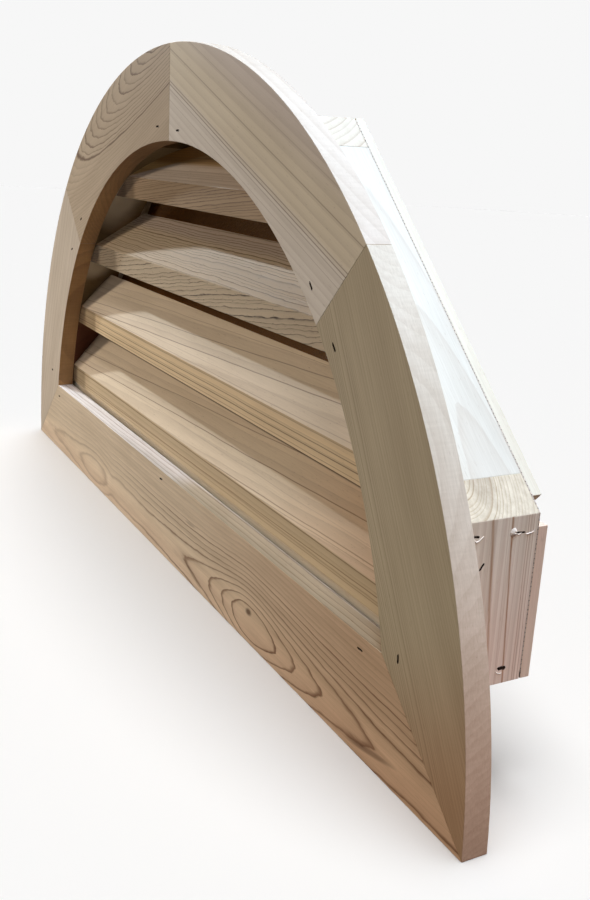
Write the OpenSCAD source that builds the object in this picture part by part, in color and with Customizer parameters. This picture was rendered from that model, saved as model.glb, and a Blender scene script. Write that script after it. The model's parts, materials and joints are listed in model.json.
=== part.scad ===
// Half-round gable vent in bare pine: arched flat trim, straight-sided frame box,
// curved stops, four sloping louvers, insect screen and back battens.
// +X is right when facing the front, +Y runs into the wall, +Z is up.
// The reference point lies on the flat back of the trim, in the middle of the bottom flange.

/* [Trim] */

// Radius of the arched outer edge
outer_r = 500; // [300:5:900]

// How far the centre of the outer arc lies below the bottom edge
outer_drop = 16; // [0:1:60]

// Radius of the arched opening
inner_r = 411.5; // [220:0.5:800]

// How far the centre of the opening's arc lies below the bottom edge
inner_drop = 10; // [0:1:60]

// Height of the bottom board
board_w = 88; // [50:1:180]

// Thickness of the trim boards
trim_t = 19; // [9:0.5:40]

// Angle of the joint between the lower and upper arch boards
joint_a = 46; // [30:1:60]

/* [Frame box] */

// Distance from each lower corner of the opening out to the inside of the post
post_gap = 24.3; // [5:0.1:80]

// Distance from the opening's arc to the inside of the sloped boards
slope_gap = 16.8; // [3:0.1:60]

// Distance from the crown of the opening up to the underside of the top board
top_gap = 1.5; // [0.5:0.5:40]

// Pitch of the sloped boards
slope_a = 42.75; // [34:0.25:50]

// How far the bottom frame board starts below the top of the bottom trim board
sill_lap = 12; // [0:1:40]

// Thickness of the bottom frame board
sill_t = 18; // [10:0.5:40]

// Gap between the back of the trim and the bottom frame board
sill_gap = 4; // [0:0.5:15]

// Thickness of the other frame boards
frame_t = 21; // [12:0.5:45]

// Depth of the frame box behind the trim
depth = 59; // [45:1:160]

/* [Curved stops] */

// Depth of the curved stops behind the trim
stop_d = 40; // [20:1:120]

// Distance from the centre line at which the upper stops end
stop_end = 70; // [40:1:150]

/* [Louvers] */

// Clearance between the lowest louver and the bottom frame board
louver_lift = 0.4; // [0:0.1:20]

// Distance from the crown of the opening down to the lower front edge of the highest louver
louver_crown = 59; // [35:0.5:100]

// Height of the plumb front edge of a louver
louver_nose = 22.5; // [10:0.5:50]

// Angle of the louvers from the horizontal
louver_a = 55; // [30:1:66]

// Horizontal run of a louver's upper face
louver_run = 30; // [15:0.5:80]

// Extra cut at the back corners of the third louver
louver_relief = 35; // [0:1:60]

/* [Screen and battens] */

// Thickness of the insect screen
screen_t = 0.8; // [0.5:0.1:3]

// Thickness of the back battens
batten_t = 7.4; // [4:0.2:15]

// Width of the back battens
batten_w = 30; // [15:1:60]

// How far the sloped battens stop short of the post corner
batten_short = 12; // [0:1:40]

// How far the side battens stop below the post corner
batten_low = 9; // [0:1:40]

/* [Hidden] */

// Number of louvers, one node each
louvers = 4;

// Half the width of the trim at its bottom edge
outer_x = sqrt(outer_r * outer_r - outer_drop * outer_drop);

// Half the width of the opening along the top of the bottom board
inner_x = sqrt(inner_r * inner_r - (board_w + inner_drop) * (board_w + inner_drop));

// Underside and top of the bottom frame board, as heights above the bottom edge of the trim
sill_z = board_w - sill_lap;
sill_top = sill_z + sill_t;

// Height of the reference point above the bottom edge of the trim
datum_h = sill_z / 2;

// Inside and outside faces of the posts
post_in_x = inner_x + post_gap;
post_x = post_in_x + frame_t;

// Slope of the sloped boards and the height their outer faces would reach at the centre line
slope_m = tan(slope_a);
slope_c = (inner_r + slope_gap + frame_t) / cos(slope_a) - inner_drop;

// Vertical thickness of a sloped board
slope_v = frame_t / cos(slope_a);

// Heights at which the outside and inside corners of a post meet the sloped board
post_z = slope_c - slope_m * post_x;
bevel_z = slope_c - slope_m * post_in_x;
corner_z = bevel_z - slope_v;

// Underside and upper face of the top board, and half its width at each
top_in_z = inner_r - inner_drop + top_gap;
top_z = top_in_z + frame_t;
top_in_x = (slope_c - top_in_z) / slope_m;
top_x = (slope_c - top_z) / slope_m;

// Louver dimensions that follow from its angle
louver_m = tan(louver_a);
louver_t = louver_nose * cos(louver_a);

// Height of the lower front edge of the lowest louver, and from one louver to the next
louver_z = sill_top + louver_lift;
louver_pitch = (inner_r - inner_drop - louver_crown - louver_z) / (louvers - 1);

// Depths of the screen and of the battens
screen_y = depth;
batten_y = depth + screen_t;
back_y = batten_y + batten_t;

// Directions along and across the sloped boards
sl_x = cos(slope_a);
sl_z = sin(slope_a);

// Half length of the boards before they are cut to shape
reach = outer_r + 60;

// Smoothness of the round edges
round_fn = 240;

// Extrudes an outline drawn in X and Z from depth y0 to depth y1.
module slab(y0, y1) {
  translate([0, y1, -datum_h])
    rotate([90, 0, 0])
      linear_extrude(y1 - y0)
        children();
}

// Disc of radius r about a centre at height cz, from depth y0 to depth y1.
module disc(r, cz, y0, y1) {
  translate([0, y1, cz - datum_h])
    rotate([90, 0, 0])
      cylinder(r = r, h = y1 - y0, $fn = round_fn);
}

// Outline points on a ray from the centre of the outer arc.
function ray(r, a) = [r * cos(a), r * sin(a) - outer_drop];

// Flat ring between the two arcs of the trim.
module ring() {
  difference() {
    disc(outer_r, -outer_drop, -trim_t, 0);
    disc(inner_r, -inner_drop, -trim_t - 1, 1);
  }
}

// Arch board from the corner mitre to the side joint, on the right.
module arch_lower() {
  intersection() {
    ring();
    slab(-trim_t - 1, 1)
      polygon([[inner_x - 0.6 * (outer_x - inner_x), board_w + 0.6 * board_w], [outer_x, 0], [reach + 60, 0],
               ray(1.3 * outer_r, joint_a / 2), ray(1.3 * outer_r, joint_a), ray(0.6 * inner_r, joint_a)]);
  }
}

// Arch board from the side joint to the crown, on the right.
module arch_upper() {
  intersection() {
    ring();
    slab(-trim_t - 1, 1)
      polygon([ray(0.6 * inner_r, joint_a), ray(1.3 * outer_r, joint_a), ray(1.4 * outer_r, (joint_a + 90) / 2),
               [0, 1.4 * outer_r], [0, 0.6 * inner_r]]);
  }
}

module trim_bottom() {
  color([0.76, 0.66, 0.53])
    slab(-trim_t, 0)
      polygon([[-outer_x, 0], [outer_x, 0], [inner_x, board_w], [-inner_x, board_w]]);
}

module trim_left_lower() {
  color([0.78, 0.69, 0.56])
    mirror([1, 0, 0])
      arch_lower();
}

module trim_left_upper() {
  color([0.8, 0.71, 0.57])
    mirror([1, 0, 0])
      arch_upper();
}

module trim_right_upper() {
  color([0.79, 0.7, 0.56])
    arch_upper();
}

module trim_right_lower() {
  color([0.72, 0.63, 0.5])
    arch_lower();
}

module frame_sill() {
  color([0.82, 0.73, 0.6])
    translate([-post_in_x, sill_gap, sill_z - datum_h])
      cube([2 * post_in_x, depth - sill_gap, sill_t]);
}

// Post with its top end bevelled in line with the sloped board, on the right.
module post() {
  slab(0, depth)
    polygon([[post_in_x, sill_z], [post_x, sill_z], [post_x, post_z], [post_in_x, bevel_z]]);
}

module frame_post_left() {
  color([0.83, 0.74, 0.62])
    mirror([1, 0, 0])
      post();
}

module frame_post_right() {
  color([0.83, 0.74, 0.62])
    post();
}

// Sloped board between the post and the underside of the top board, on the right.
module slope() {
  slab(0, depth)
    polygon([[post_in_x, corner_z], [post_in_x, bevel_z], [top_in_x, top_in_z],
             [top_in_x - frame_t / sin(slope_a), top_in_z]]);
}

module frame_slope_left() {
  color([0.86, 0.78, 0.66])
    mirror([1, 0, 0])
      slope();
}

module frame_slope_right() {
  color([0.86, 0.78, 0.66])
    slope();
}

module frame_top() {
  color([0.85, 0.77, 0.65])
    slab(0, depth)
      polygon([[-top_in_x, top_in_z], [top_in_x, top_in_z], [top_x, top_z], [-top_x, top_z]]);
}

// Space inside the frame boards on the right of the centre line, around the curved opening.
module stop_blank() {
  difference() {
    slab(0, stop_d)
      polygon([[stop_end, sill_top], [post_in_x, sill_top], [post_in_x, corner_z],
               [top_in_x - frame_t / sin(slope_a), top_in_z], [stop_end, top_in_z]]);
    disc(inner_r, -inner_drop, -1, stop_d + 1);
  }
}

// Curved stop from the bottom frame board to the side joint, on the right.
module stop_lower() {
  intersection() {
    stop_blank();
    slab(-1, stop_d + 1)
      polygon([[0, sill_z], [reach + 60, sill_z], ray(1.4 * outer_r, joint_a), ray(0.3 * inner_r, joint_a)]);
  }
}

// Curved stop from the side joint to its thin end near the crown, on the right.
module stop_upper() {
  intersection() {
    stop_blank();
    slab(-1, stop_d + 1)
      polygon([ray(0.3 * inner_r, joint_a), ray(1.4 * outer_r, joint_a), [0, 1.4 * outer_r]]);
  }
}

module stop_left_lower() {
  color([0.74, 0.64, 0.5])
    mirror([1, 0, 0])
      stop_lower();
}

module stop_left_upper() {
  color([0.74, 0.64, 0.5])
    mirror([1, 0, 0])
      stop_upper();
}

module stop_right_upper() {
  color([0.74, 0.64, 0.5])
    stop_upper();
}

module stop_right_lower() {
  color([0.74, 0.64, 0.5])
    stop_lower();
}

// Full-length louver board with its lower front edge at height z, plumb in front and square behind.
module board(z) {
  translate([-reach, 0, z - datum_h])
    rotate([90, 0, 90])
      linear_extrude(2 * reach)
        polygon([[0, 0], [0, louver_nose], [louver_run, louver_nose + louver_run * louver_m],
                 [louver_run + louver_t * sin(louver_a),
                  louver_nose + louver_run * louver_m - louver_t * cos(louver_a)]]);
}

// Louver scribed to the curved opening; n counts from the bottom.
module louver(n) {
  z = louver_z + (n - 1) * louver_pitch;
  intersection() {
    board(z);
    disc(inner_r, -inner_drop, -1, depth);
  }
}

// Half space that cuts a louver's right end along the plane through three of its corners.
module end_cut(z) {
  z1 = z + louver_nose;
  z2 = z1 + louver_run * louver_m;
  x0 = sqrt(inner_r * inner_r - (z + inner_drop) * (z + inner_drop));
  x1 = sqrt(inner_r * inner_r - (z1 + inner_drop) * (z1 + inner_drop));
  x2 = sqrt(inner_r * inner_r - (z2 + inner_drop) * (z2 + inner_drop)) - louver_relief;
  kz = (x0 - x1) / louver_nose;
  ky = (x1 - x2 - kz * (z2 - z1)) / louver_run;
  translate([x1, 0, z1 - datum_h])
    rotate([0, -asin(kz / sqrt(1 + ky * ky + kz * kz)), atan2(ky, 1)])
      translate([-2 * reach, -reach, -reach])
        cube(2 * reach);
}

module louver_1() {
  color([0.87, 0.78, 0.64])
    louver(1);
}

module louver_2() {
  color([0.87, 0.78, 0.64])
    louver(2);
}

module louver_3() {
  color([0.78, 0.69, 0.56])
    intersection() {
      board(louver_z + 2 * louver_pitch);
      end_cut(louver_z + 2 * louver_pitch);
      mirror([1, 0, 0])
        end_cut(louver_z + 2 * louver_pitch);
    }
}

module louver_4() {
  color([0.76, 0.67, 0.54])
    louver(4);
}

module screen() {
  color([0.45, 0.46, 0.47])
    slab(screen_y, batten_y)
      polygon([[-post_in_x - 8, sill_z + 10], [post_in_x + 8, sill_z + 10], [post_in_x + 8, post_z],
               [top_in_x - 4, top_z - 10], [4 - top_in_x, top_z - 10], [-post_in_x - 8, post_z]]);
}

module batten_bottom() {
  color([0.84, 0.75, 0.62])
    slab(batten_y, back_y)
      polygon([[batten_w - post_x, sill_z], [post_x - batten_w, sill_z],
               [post_x - batten_w, sill_z + batten_w], [batten_w - post_x, sill_z + batten_w]]);
}

// Batten along the back edge of a post, on the right.
module batten_side() {
  slab(batten_y, back_y)
    polygon([[post_x - batten_w, sill_z], [post_x, sill_z], [post_x, post_z - batten_low],
             [post_x - batten_w, post_z - batten_low]]);
}

module batten_left() {
  color([0.82, 0.72, 0.62])
    mirror([1, 0, 0])
      batten_side();
}

module batten_right() {
  color([0.82, 0.72, 0.62])
    batten_side();
}

// Batten along the back edge of a sloped board, on the right: square at its lower end,
// with its corner cut level where it rests on the side batten.
module batten_slope() {
  intersection() {
    slab(batten_y, back_y)
      polygon([[post_x - batten_short * sl_x, post_z + batten_short * sl_z],
               [top_x, top_z],
               [top_x - batten_w * tan(slope_a / 2), top_z - batten_w],
               [post_x - batten_short * sl_x - batten_w * sl_z, post_z + batten_short * sl_z - batten_w * sl_x]]);
    slab(batten_y - 1, back_y + 1)
      polygon([[0, post_z - batten_low], [reach, post_z - batten_low], [reach, top_z + 1], [0, top_z + 1]]);
  }
}

module batten_slope_left() {
  color([0.88, 0.8, 0.69])
    mirror([1, 0, 0])
      batten_slope();
}

module batten_slope_right() {
  color([0.88, 0.8, 0.69])
    batten_slope();
}

module batten_top() {
  color([0.87, 0.79, 0.68])
    slab(batten_y, back_y)
      polygon([[-top_x, top_z], [top_x, top_z], [top_x - batten_w * tan(slope_a / 2), top_z - batten_w],
               [batten_w * tan(slope_a / 2) - top_x, top_z - batten_w]]);
}

trim_bottom();
trim_left_lower();
trim_left_upper();
trim_right_upper();
trim_right_lower();
frame_sill();
frame_post_left();
frame_post_right();
frame_slope_left();
frame_slope_right();
frame_top();
stop_left_lower();
stop_left_upper();
stop_right_upper();
stop_right_lower();
louver_1();
louver_2();
louver_3();
louver_4();
screen();
batten_bottom();
batten_left();
batten_right();
batten_slope_left();
batten_slope_right();
batten_top();
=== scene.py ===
"""Looks of a half-round gable vent in bare pine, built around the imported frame."""
import json
import math
from types import SimpleNamespace

import bmesh
import bpy
from mathutils import Matrix, Vector

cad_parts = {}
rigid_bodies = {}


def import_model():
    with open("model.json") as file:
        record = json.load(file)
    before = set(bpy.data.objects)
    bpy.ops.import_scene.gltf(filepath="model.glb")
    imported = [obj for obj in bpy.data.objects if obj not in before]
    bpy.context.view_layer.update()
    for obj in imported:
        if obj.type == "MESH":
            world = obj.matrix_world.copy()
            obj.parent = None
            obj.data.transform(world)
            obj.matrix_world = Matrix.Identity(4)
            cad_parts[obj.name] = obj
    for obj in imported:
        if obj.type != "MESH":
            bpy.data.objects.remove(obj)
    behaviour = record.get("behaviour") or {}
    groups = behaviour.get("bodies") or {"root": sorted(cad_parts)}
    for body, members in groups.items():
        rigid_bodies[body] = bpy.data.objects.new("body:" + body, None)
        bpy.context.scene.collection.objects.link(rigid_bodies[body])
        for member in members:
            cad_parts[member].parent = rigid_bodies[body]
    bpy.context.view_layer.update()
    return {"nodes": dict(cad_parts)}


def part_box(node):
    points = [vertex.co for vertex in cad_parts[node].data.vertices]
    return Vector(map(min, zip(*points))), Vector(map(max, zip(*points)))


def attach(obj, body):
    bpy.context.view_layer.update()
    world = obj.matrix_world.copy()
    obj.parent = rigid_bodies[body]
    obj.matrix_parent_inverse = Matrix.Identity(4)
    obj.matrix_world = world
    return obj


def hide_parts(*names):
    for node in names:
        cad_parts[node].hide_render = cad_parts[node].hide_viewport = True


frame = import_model()
MM = 0.001

# ---------------------------------------------------------------- sizes read from the frame


def corners(node):
    """Every vertex of a CAD node, in metres."""
    return [v.co.copy() for v in frame["nodes"][node].data.vertices]


def circle_through(half_width, low, high):
    """(radius, centre height) of the arc through (half_width, low) and the crown (0, high)."""
    rise = high - low
    radius = (half_width ** 2 + rise ** 2) / (2 * rise)
    return radius, high - radius


def in_mm(length):
    """A length from the frame in mm, to a tenth."""
    return round(length / MM, 1)


FACE_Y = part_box("trim_bottom")[0].y
FOOT_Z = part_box("trim_bottom")[0].z
LEDGE_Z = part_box("trim_bottom")[1].z
TOP_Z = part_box("trim_right_upper")[1].z
HALF_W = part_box("trim_bottom")[1].x
OPEN_X = max(p.x for p in corners("trim_bottom") if p.z > LEDGE_Z - 0.1 * MM)
CROWN_Z = min(p.z for p in corners("trim_right_upper") if abs(p.x) < 0.1 * MM)
OUTER_R, OUTER_CZ = circle_through(HALF_W, FOOT_Z, TOP_Z)
INNER_CZ = circle_through(OPEN_X, LEDGE_Z, CROWN_Z)[1]
POST_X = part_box("frame_post_right")[1].x
POST_TOP = min(p.z for p in corners("frame_post_right") if p.x > POST_X - 0.1 * MM and p.z > LEDGE_Z)
SLOPE_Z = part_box("frame_slope_right")[1].z
SLOPE_TOP = [p for p in corners("frame_slope_right") if p.z > SLOPE_Z - 0.1 * MM]
SLOPE_END = max(SLOPE_TOP, key=lambda p: p.x)
PITCH = math.atan2(SLOPE_END.z - POST_TOP, POST_X - SLOPE_END.x)
SCREEN_LOW, SCREEN_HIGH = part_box("screen")
LOUVER_A = math.radians(55)

# places of the boards in mm: depths from the trim's back, distance from the middle, heights above
# the bottom edge
FACE = in_mm(FACE_Y)
BACK = in_mm(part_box("frame_post_right")[1].y)
BATTEN_FACE = in_mm(SCREEN_HIGH.y)
SIDE = in_mm(POST_X)
SILL = in_mm(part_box("frame_sill")[0].z - FOOT_Z)
SHOULDER = in_mm(POST_TOP - FOOT_Z)
BOX_TOP = in_mm(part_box("frame_top")[1].z - FOOT_Z)

# ---------------------------------------------------------------- shader helpers

# a noise texture's values lie mostly between these
NOISE_SPAN = (0.3, 0.7)


class Graph:
    """Short ways to add shader nodes. A value is a number, a colour, a vector or a socket."""

    def __init__(self, material):
        self.tree = material.node_tree
        self.tree.nodes.clear()

    def node(self, kind, **settings):
        made = self.tree.nodes.new(kind)
        for name, value in settings.items():
            setattr(made, name, value)
        return made

    def put(self, socket, value):
        if isinstance(value, bpy.types.NodeSocket):
            self.tree.links.new(value, socket)
        elif value is not None:
            socket.default_value = value

    def math(self, operation, *values, clamp=False):
        made = self.node("ShaderNodeMath", operation=operation, use_clamp=clamp)
        for socket, value in zip(made.inputs, values):
            self.put(socket, value)
        return made.outputs[0]

    def add(self, *values):
        total = values[0]
        for value in values[1:]:
            total = self.math("ADD", total, value)
        return total

    def sub(self, a, b):
        return self.math("SUBTRACT", a, b)

    def mul(self, a, b):
        return self.math("MULTIPLY", a, b)

    def length(self, a, b):
        """The length of a vector with the parts a and b."""
        return self.math("SQRT", self.add(self.mul(a, a), self.mul(b, b)))

    def fit(self, value, low, high, to_low=0.0, to_high=1.0, smooth=True):
        """Takes low to to_low and high to to_high, and no further."""
        kind = "SMOOTHSTEP" if smooth else "LINEAR"
        made = self.node("ShaderNodeMapRange", interpolation_type=kind)
        for socket, v in zip(made.inputs, (value, low, high, to_low, to_high)):
            self.put(socket, v)
        return made.outputs[0]

    def sway(self, noise, change, amount):
        """A factor that noise takes down and up by the two shares in change, times amount."""
        down, up = change
        return self.fit(noise, *NOISE_SPAN, 1 - down * amount, 1 + up * amount, smooth=False)

    def dot(self, vector, axis):
        made = self.node("ShaderNodeVectorMath", operation="DOT_PRODUCT")
        self.put(made.inputs[0], vector)
        self.put(made.inputs[1], axis)
        return made.outputs["Value"]

    def xyz(self, x, y, z):
        made = self.node("ShaderNodeCombineXYZ")
        for socket, value in zip(made.inputs, (x, y, z)):
            self.put(socket, value)
        return made.outputs[0]

    def noise(self, vector, detail=2.0, rough=0.5):
        made = self.node("ShaderNodeTexNoise", noise_dimensions="3D")
        self.put(made.inputs["Vector"], vector)
        made.inputs["Scale"].default_value = 1.0
        made.inputs["Detail"].default_value = detail
        made.inputs["Roughness"].default_value = rough
        return made.outputs[0]

    def noise_1d(self, value, detail=1.0):
        made = self.node("ShaderNodeTexNoise", noise_dimensions="1D")
        self.put(made.inputs["W"], value)
        made.inputs["Scale"].default_value = 1.0
        made.inputs["Detail"].default_value = detail
        return made.outputs[0]

    def mix(self, factor, a, b, blend="MIX"):
        """Mixes colours. The node has sockets for each kind of data, and the colours' are these."""
        made = self.node("ShaderNodeMix", data_type="RGBA", blend_type=blend)
        self.put(made.inputs[0], factor)
        self.put(made.inputs[6], a)
        self.put(made.inputs[7], b)
        return made.outputs[2]

    def tinted(self, colour, reach, tint):
        """A colour multiplied by a tint, as far as reach says."""
        return self.mix(reach, colour, self.mix(1.0, colour, srgb(*tint), "MULTIPLY"))

    def surface(self, colour, roughness, height, strength, distance):
        """The material's shader with its bump. Returns its sockets, for what is the same all over."""
        bump = self.node("ShaderNodeBump")
        bump.inputs["Strength"].default_value = strength
        bump.inputs["Distance"].default_value = distance
        self.put(bump.inputs["Height"], height)
        shader = self.node("ShaderNodeBsdfPrincipled")
        self.put(shader.inputs["Base Color"], colour)
        self.put(shader.inputs["Roughness"], roughness)
        self.put(shader.inputs["Normal"], bump.outputs[0])
        out = self.node("ShaderNodeOutputMaterial")
        self.put(out.inputs["Surface"], shader.outputs[0])
        return shader.inputs


def new_material(name):
    material = bpy.data.materials.new(name)
    material.use_nodes = True
    return material, Graph(material)


def srgb(r, g, b):
    """A colour given as it looks on a screen, 0 to 255, as linear RGBA."""
    def lin(c):
        c /= 255
        return c / 12.92 if c <= 0.04045 else ((c + 0.055) / 1.055) ** 2.4
    return (lin(r), lin(g), lin(b), 1.0)


# ---------------------------------------------------------------- pine

KNOT = (96, 68, 46)
# the pale colour of spots: torn wood, and on the stops painted patches of light
TORN_AND_PAINTED_LIGHT = (232, 216, 188)
# length along the grain and width across it, in mm, and place in the noise of each kind of feature
WAVES, RIPPLES, STROKES = (190, 55, 0), (26, 7, 7), (15, 3.5, 21)
FIBRES, CLOUDS, PORES = (40, 1.1, 11), (110, 34, 9), (7, 0.7, 13)
BAND_LENGTH, BAND_PLACE = 420, 5
# distance between saw marks, and how often they change across an edge, per metre
SAW_PITCH = 2.2 * MM
SAW_CHANGES = 40.0
# end of the late wood in a ring, where the next ring starts sharply, the darkening across the rest of
# it, and how fast the rings' widths change
RING_END = 0.95
RING_BODY = 0.12
WIDTH_CHANGES = 0.23
# noise above which strokes and pores show, from weak to full
STROKE_SPAN = (0.42, 0.58)
PORE_SPAN = (0.66, 0.8)
# a spot's soft edge in shares of its size, and how ragged it is
SPOT_EDGE = (0.35, 1.1)
SPOT_RAGGED = 0.8
# how far each kind of change darkens and lightens the wood at full strength
STREAK, BAND, PATCH, SAW = (0.13, 0.07), (0.16, 0.08), (0.16, 0.08), (0.1, 0.05)
# deeper shade is browner as well as darker: powers of the shade for green and blue
GREEN_POWER, BLUE_POWER = 1.15, 1.35
# height of fibres and late wood and depth of pores, in mm
FIBRE_RELIEF, RING_RELIEF, PORE_RELIEF = 0.16, 0.06, 0.2
PINE_SPECULAR = 0.3
PINE_BUMP, PLAIN_BUMP = 0.7, 0.4
PINE_RELIEF, PLAIN_RELIEF = 1.0 * MM, 0.2 * MM

# What a board's wood is like where its own settings say nothing. Lengths are in mm, and colours are
# given as they look on a screen, 0 to 255. u, v and w are the axes of Grain.
PINE = dict(
    # the pith's place in v and w, and the slope of both along the grain
    pith=(0, -60), tilt=(0, 0),
    # bends of the pith along w, which close rings into ovals: (along, length, lift)
    dips=(),
    # mean width of a ring, how uneven the widths are, and where the first ring starts
    ring=4.0, uneven=2.0, offset=0.0,
    # colours of early and late wood
    early=(218, 197, 166), late=(150, 114, 80),
    # late wood's share of a ring, its strength, and the least share of that strength a ring has
    line=0.3, dark=0.6, least=0.3,
    # how far the rings wander, in long waves and in short ones
    swirl=1.2, jitter=0.25,
    # single dark rings that stand on edge: (across, slope, width, strength)
    sheets=(),
    # rings drawn darker: (radius, width, strength)
    marked=(),
    # radius within which there are no rings
    core=0.0,
    # weaker rings further out: (radius, radius, factor)
    outer=None,
    # rings' strength along the board: (along, along, factor, factor)
    bold=None,
    # how far the rings break up into strokes
    broken=0.0,
    # blotches, dark where strength is above 0 and pale below:
    # (along, across, length, height, slope, strength)
    spots=(),
    # tints that come in from one place across the board to another, most of them painted shade and
    # light: (across, across, colour)
    washes=(),
    # tints that come in from one place along the board to another, most of them painted shade and light:
    # (along, along, colour).
    # There may follow how far along the tint's edge moves for each mm across, and the two places in w
    # from and to which it comes in as well
    fades=(),
    # strength of streaks, of bands with their width, of patches and of short pores
    streak=0.5, bands=0.4, band_w=9.0, patch=0.3, flecks=0.3,
    # strength of saw marks across an arched edge, and height of the fibres
    sawn=0.0, fuzz=0.3,
    # factor on the colour, and roughness
    tone=1.0, rough=0.58,
    # place in the noise
    seed=0.0,
)


class Grain:
    """A board's own axes in mm: u along the grain, v across the board and w square to both."""

    def __init__(self, g, look):
        self.g = g
        self.seed = look.seed
        self.place = g.node("ShaderNodeTexCoord").outputs["Object"]
        self.origin = Vector(look.at) + Vector((0, 0, FOOT_Z / MM))
        along = Vector(look.along).normalized()
        across = Vector(look.across).normalized()
        self.u = self.distance(along)
        self.v = self.distance(across)
        self.w = self.distance(along.cross(across))

    def distance(self, axis):
        return self.g.sub(self.g.dot(self.place, tuple(axis / MM)), self.origin.dot(axis))

    def field(self, long, wide, shift, detail=2.0, fine=0.5):
        """Noise with features long mm along the grain and wide mm across it, 0 to 1."""
        g = self.g
        depth = g.add(g.mul(self.w, 1 / wide), self.seed + shift)
        return g.noise(g.xyz(g.mul(self.u, 1 / long), g.mul(self.v, 1 / wide), depth), detail, fine)

    def saw_marks(self):
        """Noise in lines straight across an arched edge, 0 to 1."""
        g = self.g
        height = g.sub(g.dot(self.place, (0, 0, 1)), OUTER_CZ)
        turn = g.math("ARCTAN2", height, g.dot(self.place, (1, 0, 0)))
        depth = g.dot(self.place, (0, SAW_CHANGES, 0))
        return g.noise(g.xyz(g.mul(turn, OUTER_R / SAW_PITCH), depth, self.seed), 3.0, 0.6)


def ring_radius(g, grain, look):
    """(radius, wander): the distance from the pith with the rings' waves in it, and the waves."""
    waves = g.mul(g.sub(grain.field(*WAVES), 0.5), 2 * look.swirl)
    ripples = g.mul(g.sub(grain.field(*RIPPLES), 0.5), 2 * look.jitter)
    wander = g.add(waves, ripples)
    off_v = g.sub(g.sub(grain.v, look.pith[0]), g.mul(grain.u, look.tilt[0]))
    depth = g.add(g.mul(grain.u, look.tilt[1]), look.pith[1])
    for (middle, length, lift) in look.dips:
        away = g.mul(g.sub(grain.u, middle), 1 / length)
        depth = g.add(depth, g.math("DIVIDE", lift, g.add(g.mul(away, away), 1.0)))
    off_w = g.sub(grain.w, depth)
    return g.add(g.length(off_v, off_w), wander), wander


def ring_lines(g, radius, look):
    """(latewood, body): the dark lines of the rings, and the slight darkening across each ring."""
    widths = g.noise_1d(g.add(g.mul(radius, WIDTH_CHANGES / look.ring), look.seed + 3))
    phase = g.add(g.mul(radius, 1 / look.ring), g.mul(widths, look.uneven), look.offset)
    number = g.math("FLOOR", phase)
    part = g.sub(phase, number)
    chance = g.node("ShaderNodeTexWhiteNoise", noise_dimensions="1D")
    g.put(chance.inputs["W"], g.add(number, look.seed))
    strength = g.fit(chance.outputs["Value"], 0.0, 1.0, look.least, 1.0, smooth=False)
    rise = g.fit(part, 1 - look.line, RING_END)
    fall = g.fit(part, RING_END, 1.0, 1.0, 0.0, smooth=False)
    latewood = g.mul(g.mul(g.mul(rise, fall), strength), look.dark)
    body = g.mul(g.fit(part, 0.1, 1.0), RING_BODY)
    if look.core:
        around = g.fit(radius, look.core, look.core + 1)
        latewood = g.mul(latewood, around)
        body = g.mul(body, around)
    return latewood, body


def growth_rings(g, grain, look):
    """(latewood, body) as ring_lines gives them, weaker or darker where the board's settings say."""
    radius, wander = ring_radius(g, grain, look)
    latewood, body = ring_lines(g, radius, look)
    if look.broken:
        strokes = g.fit(grain.field(*STROKES), *STROKE_SPAN, 1 - look.broken, 1.0)
        latewood = g.mul(latewood, strokes)
    if look.outer:
        near, far, factor = look.outer
        latewood = g.mul(latewood, g.fit(radius, near, far, 1.0, factor))
    if look.bold:
        latewood = g.mul(latewood, g.fit(grain.u, *look.bold))
    for (mark, width, amount) in look.marked:
        gap = g.math("ABSOLUTE", g.sub(radius, mark))
        latewood = g.math("MAXIMUM", latewood, g.fit(gap, 0.0, width, amount, 0.0))
    for (across, slope, width, amount) in look.sheets:
        gap = g.math("ABSOLUTE", g.add(g.sub(grain.v, across), g.mul(grain.u, -slope), wander))
        latewood = g.math("MAXIMUM", latewood, g.fit(gap, 0.0, width, amount, 0.0))
    return latewood, body


def spots_and_painted_light(g, grain, look, colour, cloud):
    """The colour with the board's spots and tints. The spots are knots, torn wood and painted patches of
    light, and most tints are painted shade and light.
    """
    for (su, sv, length, height, slope, amount) in look.spots:
        along = g.sub(grain.u, su)
        away_v = g.mul(g.sub(g.sub(grain.v, sv), g.mul(along, slope)), 1 / height)
        ragged = g.mul(g.sub(cloud, 0.5), SPOT_RAGGED)
        gap = g.add(g.length(g.mul(along, 1 / length), away_v), ragged)
        spot_colour = KNOT if amount > 0 else TORN_AND_PAINTED_LIGHT
        colour = g.mix(g.fit(gap, *SPOT_EDGE, abs(amount), 0.0), colour, srgb(*spot_colour))
    for (start, full, tint) in look.washes:
        colour = g.tinted(colour, g.fit(grain.v, start, full), tint)
    for (start, full, tint, *more) in look.fades:
        lean, *depths = more or (0,)
        along = g.sub(grain.u, g.mul(grain.v, lean)) if lean else grain.u
        reach = g.fit(along, start, full)
        if depths:
            reach = g.mul(reach, g.fit(grain.w, *depths))
        colour = g.tinted(colour, reach, tint)
    return colour


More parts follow.
